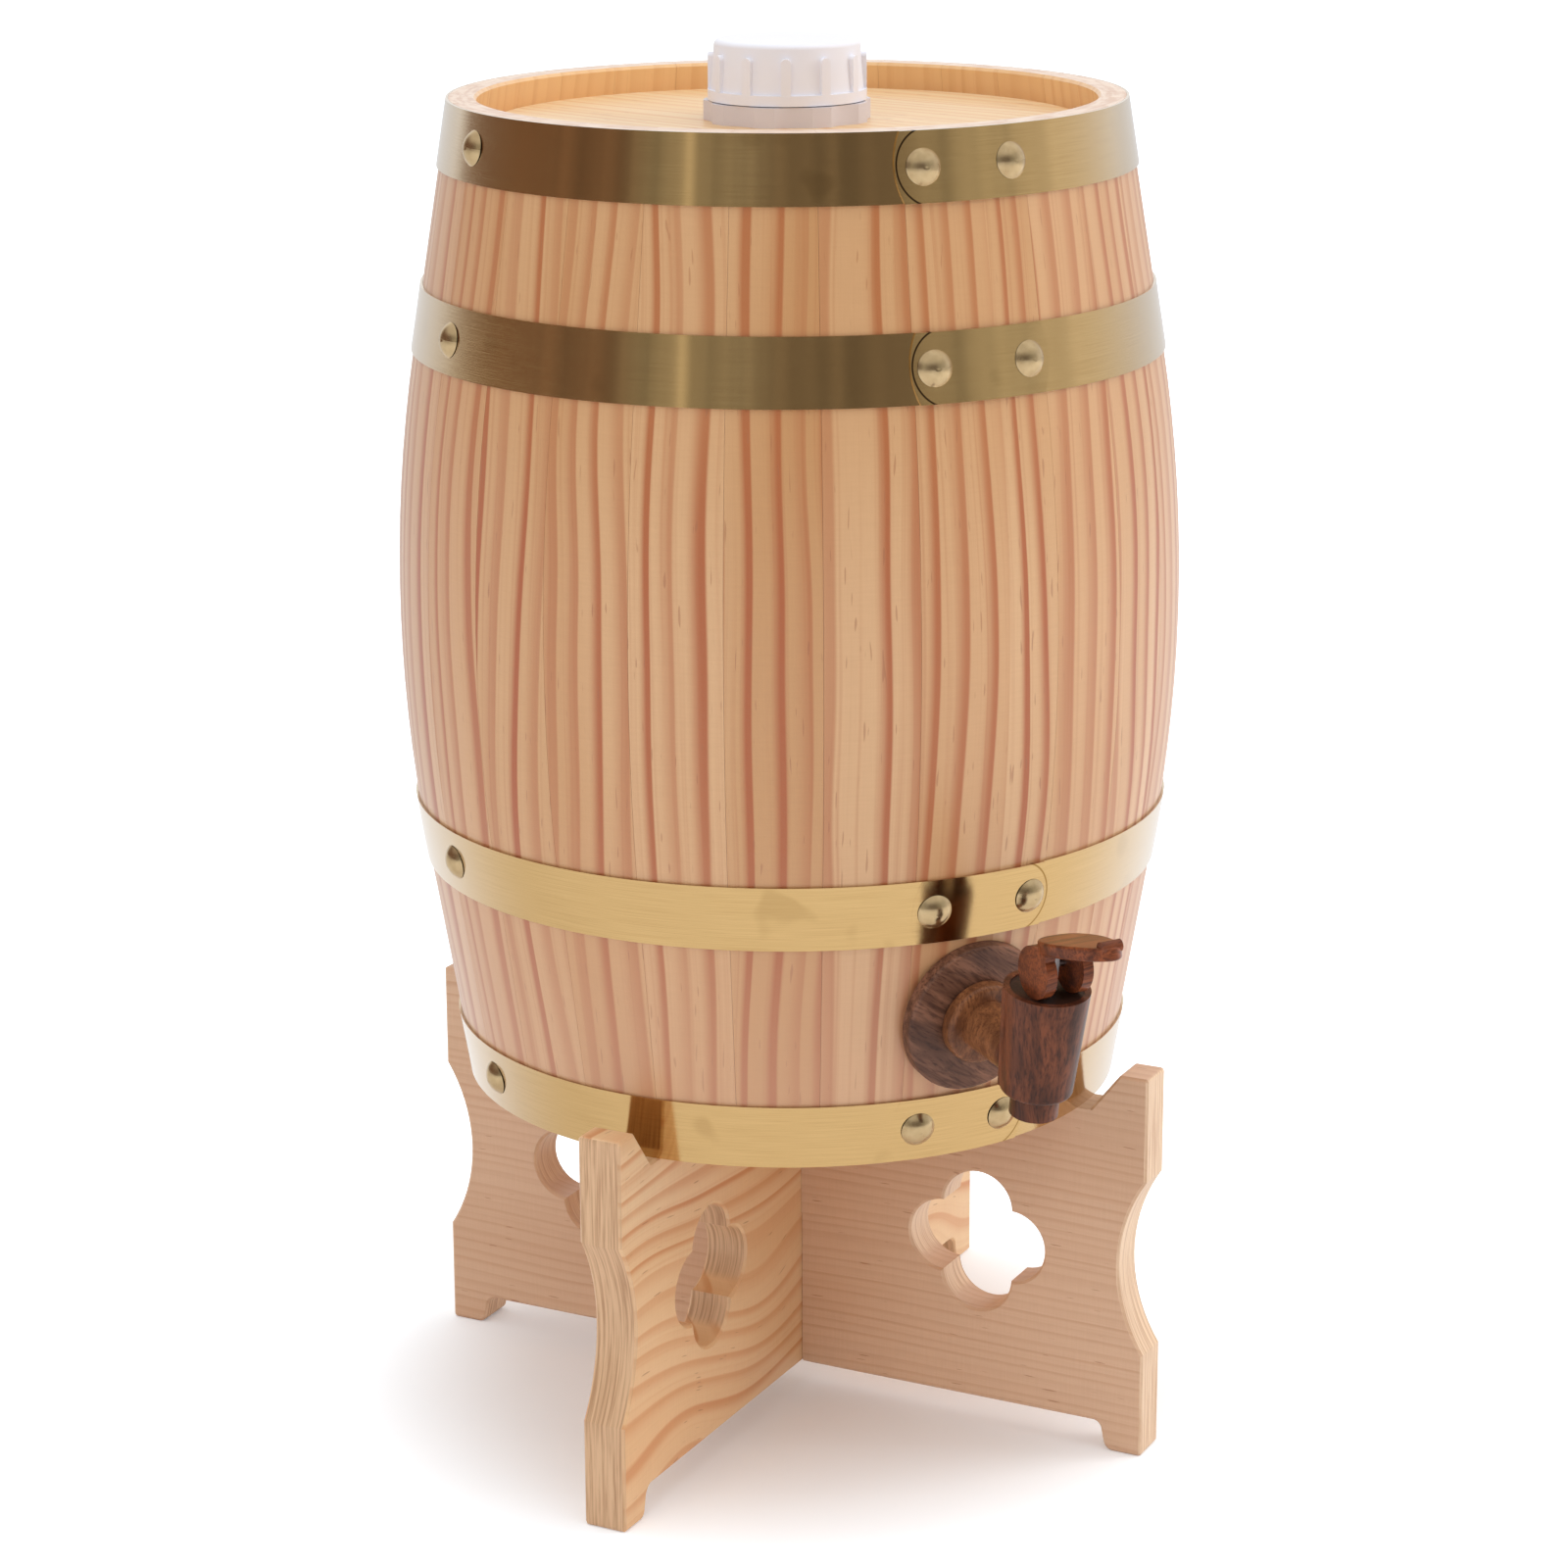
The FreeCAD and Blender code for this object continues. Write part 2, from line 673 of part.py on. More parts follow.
def stem_ring():
    """Sealing ring round the plunger, in the foot of the bonnet."""
    outer = on_body(plunger_radius + stem_ring_width, bonnet_spigot_end,
                    bonnet_spigot_end + stem_ring_height)
    return to_tap(outer.cut(on_body(plunger_radius + plunger_gap / 2, 0.0, body_top)))


def pin_height():
    """Height of the lever's pin on the body axis."""
    return body_top - bonnet_sink + cheek_gap + cheek_radius


def plunger():
    """White valve stem: collar for the spring, eye for the lever's pin."""
    low = chamber_floor + seat_seal_height
    high = pin_height() + plunger_head_above_pin
    solid = on_body(plunger_radius, low - 2.0, high)
    solid = solid.fuse(on_body(collar_radius, collar_low, collar_high))
    eye = Part.makeCylinder(pin_radius + pin_gap, 4 * plunger_radius,
                            V(-2 * plunger_radius, -body_reach, pin_height()), V(1, 0, 0))
    return to_tap(solid.cut(eye))


def seat_seal():
    """Soft seal on the foot of the plunger, closing the nozzle's bore."""
    low = chamber_floor
    high = chamber_floor + seat_seal_height
    taper = Part.makeCone(seat_seal_lip, seat_seal_radius, seat_seal_height / 2, V(0, -body_reach, low))
    solid = taper.fuse(on_body(seat_seal_radius, low + seat_seal_height / 2, high))
    return to_tap(solid.cut(on_body(plunger_radius, high - 2.0, high + 1.0)).removeSplitter())


def valve_spring():
    """Closing spring between the plunger's collar and the bonnet."""
    low = collar_high + spring_wire + spring_seat_gap
    high = bonnet_spigot_end - spring_wire - spring_seat_gap
    pitch = (high - low) / spring_turns
    helix = Part.makeHelix(pitch, high - low, spring_radius)
    start = Part.Circle(V(spring_radius, 0, 0), V(0, 1, pitch / (2 * math.pi * spring_radius)), spring_wire)
    wire = Part.Wire([start.toShape()])
    solid = Part.Wire(helix.Edges).makePipeShell([wire], True, True)
    solid.translate(V(0, -body_reach, low))
    return to_tap(solid)


def lever_pin():
    """Pin through both cheeks and the plunger's eye."""
    length = 2 * (fork_outer - pin_cover - pin_gap)
    return to_tap(Part.makeCylinder(pin_radius, length, V(-length / 2, -body_reach, pin_height()), V(1, 0, 0)))


def paddle_face():
    """Teardrop plan of the paddle: distance in front of the pin, half width."""
    near = [V(half, ahead, 0) for ahead, half in paddle_outline]
    far = [V(-half, ahead, 0) for ahead, half in paddle_outline[-2:0:-1]]
    curve = Part.BSplineCurve()
    curve.interpolate(near + far, PeriodicFlag=True)
    return Part.Face(Part.Wire([curve.toShape()]))


def paddle():
    """Thumb paddle: a teardrop plate that rises forwards, with a rolled lip at its tip."""
    face = paddle_face()
    plate = face.extrude(V(0, 0, paddle_thickness))
    rims = [e for e in plate.Edges if e.BoundBox.ZLength < 0.01]
    plate = plate.makeFillet(paddle_edge_round, rims)
    tip = paddle_outline[-1][0]
    roll = Part.makeCylinder(lip_radius, 2 * lip_half_length,
                             V(-lip_half_length, tip - lip_from_tip, paddle_thickness - 0.1), V(1, 0, 0))
    plate = plate.fuse(roll)
    plate.rotate(ORIGIN, UP, 180)
    plate.rotate(ORIGIN, V(1, 0, 0), -paddle_pitch)
    plate.translate(V(0, -body_reach, pin_height() + paddle_rise))
    return plate


def lever():
    """Lever: two cam cheeks astride the plunger, joined by the paddle."""
    width = fork_outer - fork_inner
    plate = paddle()
    solid = plate
    for side in (-1, 1):
        start = side * fork_inner
        centre = V(start, -body_reach - cheek_throw, pin_height())
        cheek = Part.makeCylinder(cheek_radius, width, centre, V(side, 0, 0))
        neck = Part.makeBox(width, neck_front - neck_back, 2 * (cheek_radius + paddle_rise),
                            V(min(start, start + side * width), -body_reach - neck_front, pin_height()))
        neck = neck.cut(above_paddle())
        solid = solid.fuse([cheek, neck])
    reach = fork_outer - pin_cover
    pin_hole = Part.makeCylinder(pin_radius + pin_gap, 2 * reach,
                                 V(-reach, -body_reach, pin_height()), V(1, 0, 0))
    return to_tap(solid.cut(pin_hole).removeSplitter())


def above_paddle():
    """Space over the middle of the paddle's thickness."""
    reach = 4 * paddle_outline[-1][0]
    box = Part.makeBox(reach, reach, reach, V(-reach / 2, -reach / 2, paddle_thickness / 2))
    box.rotate(ORIGIN, V(1, 0, 0), -paddle_pitch)
    box.translate(V(0, -body_reach, pin_height() + paddle_rise))
    return box


def build():
    """Every sub-part by its name, in the frame of the cask's axis and the floor."""
    parts = {}
    bottom, top = head_heights()
    bore = to_tap(along_shank(shank_radius + boss_bore_gap, -shank_end() - 20.0, 0.0))
    hole = to_tap(along_shank(shank_radius + shank_hole_gap, -rosette_thickness - stave_wall - 3.0, 10.0))
    boss = to_tap(along_shank(boss_radius, -shank_end() - 1.0, 0.0))
    seal_face = rosette_thickness + stave_wall + tank_gap + boss_seal_thickness
    seal_out = shank_radius + boss_seal_width
    seal = along_shank(seal_out, -seal_face, -seal_face + boss_seal_thickness)
    seal = seal.cut(along_shank(shank_radius + boss_bore_gap, -2 * seal_face, 0.0))
    seal_cutter = to_tap(along_shank(seal_out + boss_bore_gap, -seal_face, 0.0))
    for i, solid in enumerate(staves(hole)):
        parts["stave_%02d" % (i + 1)] = solid
    parts["head_bottom"] = head(*bottom, hole=0.0)
    parts["head_top"] = head(*top, hole=neck_radius + neck_hole_gap)
    hoop_names = ("bottom", "lower", "upper", "top")
    for name, low, flip in zip(hoop_names, hoop_lows, hoop_flips):
        parts["hoop_" + name] = hoop(low, flip)
        parts["rivets_" + name] = hoop_rivet_set(low, flip)
    parts["inner_tank"] = tank(bore, boss, seal_cutter)
    parts["neck_nut"] = neck_nut(top[1])
    cap_base = top[1] + nut_height + cap_gap
    parts["filler_cap"] = filler_cap(cap_base)
    neck_top = top[1] + neck_height()
    cap_inside = cap_base + cap_height - cap_top_wall
    parts["cap_seal"] = Part.makeCylinder(neck_radius, cap_inside - neck_top, V(0, 0, neck_top))
    parts["boss_seal"] = to_tap(seal)
    parts["tap_rosette"] = rosette()
    parts["tap_washer"] = tap_washer()
    parts["tap_body"] = tap_body()
    parts["tap_bonnet"] = bonnet()
    parts["stem_ring"] = stem_ring()
    parts["valve_plunger"] = plunger()
    parts["seat_seal"] = seat_seal()
    parts["valve_spring"] = valve_spring()
    parts["lever_pin"] = lever_pin()
    parts["tap_lever"] = lever()
    for shape in parts.values():
        shape.translate(V(0, 0, seat_height))
    parts["stand_board_lower"] = stand_board(first_board_azimuth, True)
    parts["stand_board_upper"] = stand_board(first_board_azimuth + 90, False)
    return parts


tap_origin = V(0, -surface_radius(tap_height)
               - rosette_thickness * math.cos(math.radians(surface_lean(tap_height))),
               tap_height + rosette_thickness * math.sin(math.radians(surface_lean(tap_height))))

os.makedirs("parts", exist_ok=True)
parts = build()
box = FreeCAD.BoundBox()
for shape in parts.values():
    box.add(shape.optimalBoundingBox())
centre_shift = V(0, -(box.YMin + box.YMax) / 2, 0)
for name, shape in parts.items():
    shape.translate(centre_shift)
    shape.exportStep("parts/%s.step" % name)
print("sub-parts", len(parts))
print("axis of the cask stands at y", round(centre_shift.y, 4))
print("size", round(box.XLength, 2), round(box.YLength, 2), round(box.ZLength, 2))
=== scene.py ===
# %% [markdown]
# Upright wooden drinks cask with a lever tap and a screw cap, on a stand of two
# crossed boards. The frame gives every piece its shape and place; this script
# gives them their surfaces, the light and the camera.

# %%
import bpy
import bmesh
import math
from mathutils import Matrix, Vector


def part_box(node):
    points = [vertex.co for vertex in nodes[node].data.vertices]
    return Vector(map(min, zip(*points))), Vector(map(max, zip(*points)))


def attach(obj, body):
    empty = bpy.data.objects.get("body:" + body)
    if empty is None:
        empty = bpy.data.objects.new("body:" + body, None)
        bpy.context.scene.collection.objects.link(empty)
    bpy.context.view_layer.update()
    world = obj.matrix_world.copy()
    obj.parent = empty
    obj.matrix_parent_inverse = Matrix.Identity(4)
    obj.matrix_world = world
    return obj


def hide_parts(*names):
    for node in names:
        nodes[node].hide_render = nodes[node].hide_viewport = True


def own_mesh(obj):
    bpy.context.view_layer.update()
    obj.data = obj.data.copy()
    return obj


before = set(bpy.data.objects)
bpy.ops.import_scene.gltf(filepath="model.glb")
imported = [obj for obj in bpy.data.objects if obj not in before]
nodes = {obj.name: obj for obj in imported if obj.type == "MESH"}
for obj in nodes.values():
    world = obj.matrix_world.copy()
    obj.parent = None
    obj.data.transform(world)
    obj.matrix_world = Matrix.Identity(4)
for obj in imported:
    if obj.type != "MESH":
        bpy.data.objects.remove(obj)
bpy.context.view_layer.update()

# %% [markdown]
# Sizes that the surfaces follow, in metres and radians, as in the frame.

# %%
cap_low, cap_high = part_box("filler_cap")
axis_y = (cap_low.y + cap_high.y) / 2
belly_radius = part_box("hoop_lower")[1].x

tap_stave_degrees = 22.0
plain_staves = 25
tap_stave_half = math.radians(tap_stave_degrees / 2)
stave_step = math.radians((360.0 - tap_stave_degrees) / plain_staves)
head_board_turn = math.radians(20.0)
head_board_width = 0.048
first_board_azimuth = math.radians(-56.0)
second_board_azimuth = math.radians(34.0)

lap_tip = 0.029
lap_end_radius = 0.0142

tap_lean = math.radians(9.3557)
tap_axis_along_shank = -0.1119
stem_start = tap_axis_along_shank + 0.0145
stem_full = tap_axis_along_shank + 0.0168

spring_body = "cask"


def rgb(red, green, blue):
    """A colour given as screen values from 0 to 255, as linear values."""
    linear = []
    for value in (red, green, blue):
        c = value / 255
        linear.append(c / 12.92 if c <= 0.04045 else ((c + 0.055) / 1.055) ** 2.4)
    return (*linear, 1.0)


# %% [markdown]
# A small helper that wires shader nodes.

# %%
class Net:
    """Adds nodes to one node tree; an input is a number, a colour or a socket."""

    def __init__(self, tree):
        self.tree = tree

    def put(self, socket, value):
        if isinstance(value, bpy.types.NodeSocket):
            self.tree.links.new(value, socket)
        else:
            socket.default_value = value

    def node(self, kind, inputs=None, **settings):
        made = self.tree.nodes.new(kind)
        for key, value in settings.items():
            setattr(made, key, value)
        for key, value in (inputs or {}).items():
            self.put(made.inputs[key], value)
        return made

    def math(self, operation, *values, clamp=False):
        made = self.node("ShaderNodeMath", operation=operation, use_clamp=clamp)
        for i, value in enumerate(values):
            self.put(made.inputs[i], value)
        return made.outputs[0]

    def add(self, first, second):
        return self.math("ADD", first, second)

    def sub(self, first, second):
        return self.math("SUBTRACT", first, second)

    def mul(self, first, second, clamp=False):
        return self.math("MULTIPLY", first, second, clamp=clamp)

    def div(self, first, second):
        return self.math("DIVIDE", first, second)

    def size(self, value):
        return self.math("ABSOLUTE", value)

    def dot(self, first, second):
        """How far one pair goes along another."""
        return self.add(self.mul(first[0], second[0]), self.mul(first[1], second[1]))

    def length(self, x, y):
        return self.math("SQRT", self.dot((x, y), (x, y)))

    def split(self, vector):
        made = self.node("ShaderNodeSeparateXYZ", {"Vector": vector})
        return made.outputs["X"], made.outputs["Y"], made.outputs["Z"]

    def join(self, x, y, z):
        made = self.node("ShaderNodeCombineXYZ", {"X": x, "Y": y, "Z": z})
        return made.outputs["Vector"]

    def noise(self, vector, scale, detail=2.0, roughness=0.5, seed=0.0):
        made = self.node("ShaderNodeTexNoise", noise_dimensions="4D")
        self.put(made.inputs["Vector"], vector)
        self.put(made.inputs["W"], seed)
        self.put(made.inputs["Scale"], scale)
        self.put(made.inputs["Detail"], detail)
        self.put(made.inputs["Roughness"], roughness)
        return made.outputs["Fac"]

    def streaks(self, place, scales, detail, roughness=0.5, seed=0.0):
        """Noise that changes at its own rate in each of three directions."""
        parts = [part if scale == 1.0 else self.mul(part, scale)
                 for part, scale in zip(place, scales)]
        return self.noise(self.join(*parts), 1.0, detail, roughness, seed)

    def chance(self, index):
        """A random value of its own for each whole number."""
        made = self.node("ShaderNodeTexWhiteNoise", {"W": index}, noise_dimensions="1D")
        return made.outputs["Value"]

    def band(self, value, low, high):
        """0 at low, 1 at high, smooth between."""
        made = self.node("ShaderNodeMapRange", interpolation_type="SMOOTHSTEP")
        self.put(made.inputs["Value"], value)
        self.put(made.inputs["From Min"], low)
        self.put(made.inputs["From Max"], high)
        return made.outputs["Result"]

    def scaled(self, value, low, high):
        """low where the value is 0, high where it is 1."""
        made = self.node("ShaderNodeMapRange")
        self.put(made.inputs["Value"], value)
        self.put(made.inputs["To Min"], low)
        self.put(made.inputs["To Max"], high)
        return made.outputs["Result"]

    def mix(self, factor, first, second, blend="MIX"):
        made = self.node("ShaderNodeMix", data_type="RGBA", blend_type=blend)
        self.put(made.inputs[0], factor)
        self.put(made.inputs[6], first)
        self.put(made.inputs[7], second)
        return made.outputs[2]

    def mix_shaders(self, factor, first, second):
        made = self.node("ShaderNodeMixShader")
        for i, value in enumerate((factor, first, second)):
            self.put(made.inputs[i], value)
        return made.outputs[0]

    def ramp(self, value, stops):
        """A colour ramp through (place, (red, green, blue)) stops with linear values."""
        made = self.node("ShaderNodeValToRGB", {"Fac": value})
        marks = made.color_ramp.elements
        while len(marks) < len(stops):
            marks.new(1.0)
        for mark, (spot, color) in zip(marks, stops):
            mark.position = spot
            mark.color = (*color, 1.0)
        return made.outputs["Color"]

    def place(self):
        return self.node("ShaderNodeTexCoord").outputs["Object"]

    def facing(self):
        return self.split(self.node("ShaderNodeNewGeometry").outputs["Normal"])

    def group(self, tree, **inputs):
        return self.node("ShaderNodeGroup", inputs, node_tree=tree)


def new_group(name, inputs, outputs):
    """An empty shader group with its sockets, as (tree, input node, output node)."""
    tree = bpy.data.node_groups.new(name, "ShaderNodeTree")
    kinds = {"vector": "NodeSocketVector", "color": "NodeSocketColor",
             "float": "NodeSocketFloat"}
    for in_out, sockets in (("INPUT", inputs), ("OUTPUT", outputs)):
        for label, kind in sockets:
            tree.interface.new_socket(name=label, in_out=in_out, socket_type=kinds[kind])
    return tree, tree.nodes.new("NodeGroupInput"), tree.nodes.new("NodeGroupOutput")


def new_material(name, roughness=0.5, metallic=0.0):
    """A material with a Principled shader, as (material, net, shader)."""
    material = bpy.data.materials.new(name)
    material.use_nodes = True
    tree = material.node_tree
    tree.nodes.clear()
    net = Net(tree)
    shader = net.node("ShaderNodeBsdfPrincipled")
    shader.inputs["Roughness"].default_value = roughness
    shader.inputs["Metallic"].default_value = metallic
    net.node("ShaderNodeOutputMaterial", {"Surface": shader.outputs[0]})
    return material, net, shader


def bump(net, shader, height, distance, strength=0.5):
    made = net.node("ShaderNodeBump", {"Height": height})
    made.inputs["Distance"].default_value = distance
    made.inputs["Strength"].default_value = strength
    net.put(shader.inputs["Normal"], made.outputs["Normal"])


def dress(names, material):
    """Gives the nodes one material."""
    for name in names:
        mesh = nodes[name].data
        mesh.materials.clear()
        mesh.materials.append(material)


# %% [markdown]
# Softwood: pale ground, orange-brown growth lines of uneven width that run along
# the board and wander a little, thin dark flecks, and a slow change of tone.
# The position goes in as (across, along, depth) in metres. Each rate says how
# fast a pattern changes in these three directions.

# %%
drift_rate = (9.0, 5.6, 1.0)
tone_rate = (16.0, 1.6, 1.0)
patch_rate = (34.0, 4.0, 1.0)
fibre_rate = (2600.0, 60.0, 1.0)
fleck_rate = (900.0, 95.0, 1.0)
chatter_rate = (90.0, 1300.0, 1.0)
lines_in_a_cluster = 3.6
cluster_rate = (1.0, 1.1, 1.0)
cluster_push = 2.4
thin_line_size = 0.2
thin_line_rate = (1.0, 2.2, 1.0)
thin_line_band = (0.48, 0.75)
thin_line_share = 0.3
late_wood_full = 0.86
late_wood_end = (1.0, 0.9)
late_wood_curve = 1.5
late_wood_gloss = 0.08
fleck_band = (0.75, 0.80)
fleck_share = 0.5
fleck_color = rgb(158, 92, 58)
tone_band = (0.35, 0.7)
ring_strength = (0.4, 1.1)
patch_strength = (0.45, 1.5)
fibre_share = 0.16
chatter_share = 0.14
fibre_color = rgb(168, 118, 80)
grain_depth = 0.00012


def softwood_group():
    tree, given, result = new_group(
        "softwood",
        [("Position", "vector"), ("Pale", "color"), ("Line", "color"), ("Warm", "color"),
         ("Seed", "float"), ("Spacing", "float"), ("Waviness", "float"),
         ("Contrast", "float")],
        [("Color", "color"), ("Height", "float"), ("Gloss", "float")])
    net = Net(tree)
    position, pale, line, warm, seed, spacing, waviness, contrast = given.outputs[:8]
    across, along, depth = place = net.split(position)

    drift = net.streaks(place, drift_rate, 1.0, seed=seed)
    shifted = net.add(across, net.mul(net.sub(drift, 0.5), waviness))
    cluster = net.streaks((net.div(shifted, net.mul(spacing, lines_in_a_cluster)), along, depth),
                          cluster_rate, 1.0, seed=seed)
    phase = net.add(net.add(net.div(shifted, spacing), net.mul(cluster, cluster_push)), seed)
    part = net.math("FRACT", phase)
    ring = net.chance(net.math("FLOOR", phase))
    rise = net.band(part, net.mul(ring, 0.5), late_wood_full)
    late_wood = net.mul(net.math("POWER", rise, late_wood_curve), net.band(part, *late_wood_end))

    fine = net.streaks((net.div(shifted, net.mul(spacing, thin_line_size)), along, depth),
                       thin_line_rate, 2.0, 0.6, seed)
    thin = net.band(fine, *thin_line_band)
    fibre = net.streaks(place, fibre_rate, 2.0, 0.6, seed)
    fleck = net.band(net.streaks((shifted, along, depth), fleck_rate, 0.0, seed=seed), *fleck_band)
    tone = net.band(net.streaks(place, tone_rate, 2.0, seed=seed), *tone_band)
    patch = net.streaks(place, patch_rate, 1.0, seed=seed)
    chatter = net.streaks(place, chatter_rate, 1.0, seed=seed)

    strength = net.mul(net.scaled(ring, *ring_strength), net.scaled(patch, *patch_strength))
    strength = net.mul(strength, contrast)
    color = net.mix(tone, pale, warm)
    color = net.mix(net.mul(late_wood, strength, clamp=True), color, line)
    color = net.mix(net.mul(thin, net.mul(contrast, thin_line_share)), color, line)
    color = net.mix(net.mul(fleck, fleck_share), color, fleck_color)
    rough = net.add(net.mul(fibre, fibre_share), net.mul(chatter, chatter_share))
    color = net.mix(rough, color, fibre_color)
    net.put(result.inputs["Color"], color)
    net.put(result.inputs["Height"], net.add(net.mul(late_wood, 0.5), net.mul(fibre, 0.5)))
    net.put(result.inputs["Gloss"], net.scaled(late_wood, 0.0, late_wood_gloss))
    return tree


softwood = softwood_group()

# %% [markdown]
# Staves: the grain runs up each stave, and each has its own pattern and tone.
# They are paler towards the bottom and browner towards the top. Their ends are
# pale end grain. The inside of the rim is mixed towards a light orange: the orange
# is the wood's own, the lightness is painted light against the shade inside the rim.

# %%
stave_own_share = 0.32
stave_own_tone = rgb(196, 132, 78)
low_heights = (0.30, 0.15)
low_share = 0.4
stave_low_tone = rgb(216, 168, 136)
high_heights = (0.36, 0.48)
high_share = 0.3
stave_high_tone = rgb(196, 140, 84)
rim_painted_light_share = 0.6
rim_inside_painted_light = rgb(255, 212, 150)
stave_end_rate = (60.0, 420.0, 1.0)
stave_end_pale = rgb(236, 208, 184)
stave_end_dark = rgb(212, 170, 138)


def around_cask(net):
    """Angle from the tap, height and distance from the cask's axis."""
    x, y, z = net.split(net.place())
    ahead = net.sub(axis_y, y)
    return net.math("ARCTAN2", x, ahead), z, net.length(x, ahead)


def stave_material():
    material, net, shader = new_material("stave_pine")
    angle, height, far = around_cask(net)
    turned = net.math("FLOORED_MODULO", net.sub(angle, tap_stave_half), 2 * math.pi)
    own = net.chance(net.math("FLOOR", net.div(turned, stave_step)))
    seed = net.mul(own, 40.0)
    across = net.mul(angle, belly_radius)
    wood = net.group(softwood, Position=net.join(across, height, far),
                     Pale=rgb(231, 187, 139), Line=rgb(176, 84, 32), Warm=rgb(210, 158, 106),
                     Seed=seed, Spacing=0.0112, Waviness=0.02, Contrast=1.2)
    face = net.mix(net.scaled(own, 0.0, stave_own_share), wood.outputs["Color"], stave_own_tone)
    face = net.mix(net.mul(net.band(height, *low_heights), low_share), face, stave_low_tone)
    face = net.mix(net.mul(net.band(height, *high_heights), high_share), face, stave_high_tone)

    nx, ny, nz = net.facing()
    x, y, _ = net.split(net.place())
    outward = net.dot((nx, ny), (x, net.sub(y, axis_y)))
    inside = net.band(outward, 0.0, -0.02)
    rings = net.streaks((across, far, 0.0), stave_end_rate, 3.0, seed=seed)
    end_grain = net.mix(net.band(rings, 0.4, 0.65), stave_end_pale, stave_end_dark)
    # Painted light: faces that look inwards, inside the rim, are mixed towards a light orange to
    # make up for the shade there.
    color = net.mix(inside, face, net.mix(rim_painted_light_share, face, rim_inside_painted_light))
    color = net.mix(net.band(net.size(nz), 0.6, 0.9), color, end_grain)
    net.put(shader.inputs["Base Color"], color)
    net.put(shader.inputs["Roughness"], net.add(wood.outputs["Gloss"], 0.34))
    shader.inputs["Coat Weight"].default_value = 0.5
    shader.inputs["Coat Roughness"].default_value = 0.3
    bump(net, shader, wood.outputs["Height"], grain_depth)
    return material


dress([name for name in nodes if name.startswith("stave_")], stave_material())

# %% [markdown]
# Heads: boards glued side by side, the grain across the cask.

# %%
def head_material():
    material, net, shader = new_material("head_pine", 0.34)
    x, y, z = net.split(net.place())
    cosine, sine = math.cos(head_board_turn), math.sin(head_board_turn)
    across = net.dot((x, y), (cosine, sine))
    along = net.dot((x, y), (-sine, cosine))
    own = net.chance(net.math("FLOOR", net.div(across, head_board_width)))
    wood = net.group(softwood, Position=net.join(across, along, z),
                     Pale=rgb(247, 222, 182), Line=rgb(226, 166, 102), Warm=rgb(242, 208, 158),
                     Seed=net.mul(own, 30.0), Spacing=0.008, Waviness=0.03, Contrast=0.8)
    net.put(shader.inputs["Base Color"], wood.outputs["Color"])
    bump(net, shader, wood.outputs["Height"], 0.0001)
    return material


dress(["head_top", "head_bottom"], head_material())

# %% [markdown]
# Stand: one board shows bold flat-sawn arches, the other fine straight lines.
# Their end faces show the same boards cut across.

# %%
board_ring_tilt = 0.9
board_depth_stretch = 8.0
board_end_rate = (900.0, 26.0, 1.0)


def board_material(name, azimuth, cut_pale, cut_dark, **wood_look):
    """A board that runs out from the axis at the azimuth, measured from the tap."""
    material, net, shader = new_material(name, 0.4)
    x, y, z = net.split(net.place())
    off = net.sub(y, axis_y)
    lengthways = (math.sin(azimuth), -math.cos(azimuth))
    through = (math.cos(azimuth), math.sin(azimuth))
    along = net.dot((x, off), lengthways)
    depth = net.dot((x, off), through)
    tilted = net.add(z, net.mul(depth, board_ring_tilt))
    wood = net.group(softwood, **wood_look,
                     Position=net.join(tilted, along, net.mul(depth, board_depth_stretch)))
    nx, ny, _ = net.facing()
    end = net.size(net.dot((nx, ny), lengthways))
    rings = net.streaks((depth, z, 0.0), board_end_rate, 3.0, 0.6, wood_look["Seed"])
    cut = net.mix(net.band(rings, 0.4, 0.66), cut_pale, cut_dark)
    color = net.mix(net.band(end, 0.55, 0.8), wood.outputs["Color"], cut)
    net.put(shader.inputs["Base Color"], color)
    bump(net, shader, wood.outputs["Height"], grain_depth)
    return material


dress(["stand_board_lower"], board_material(
    "stand_flat_sawn", first_board_azimuth,
    cut_pale=rgb(224, 184, 144), cut_dark=rgb(186, 142, 104),
    Pale=rgb(250, 212, 166), Line=rgb(210, 122, 58), Warm=rgb(236, 184, 128),
    Seed=3.0, Spacing=0.0105, Waviness=0.085, Contrast=0.62))
dress(["stand_board_upper"], board_material(
    "stand_straight_grain", second_board_azimuth,
    cut_pale=rgb(240, 208, 174), cut_dark=rgb(208, 166, 130),
    Pale=rgb(230, 192, 160), Line=rgb(196, 142, 106), Warm=rgb(220, 178, 144),
    Seed=8.0, Spacing=0.0042, Waviness=0.012, Contrast=0.4))

# %% [markdown]
# Metal: hoops rolled from satin golden strip, brushed along their length, and
# polished domed rivets. Towards their edges as seen from the lens the hoops are
# painted paler, a painted sheen, and a painted shade line marks the rounded end
# of each hoop's lap, dark on the upper two hoops and softer on the lower two.

# %%
hoop_light = rgb(213, 179, 124)
hoop_dark = rgb(199, 164, 110)
hoop_smudge = rgb(150, 116, 66)
hoop_painted_edge_sheen = rgb(228, 216, 198)
lap_painted_shade_dark = rgb(70, 48, 26)
lap_painted_shade_soft = rgb(160, 124, 70)
brush_rate = (4.0, 4200.0, 1.0)
brush_depth = 0.00003
lap_shade_edges = (0.0005, 0.00015)
lap_reach = 0.5


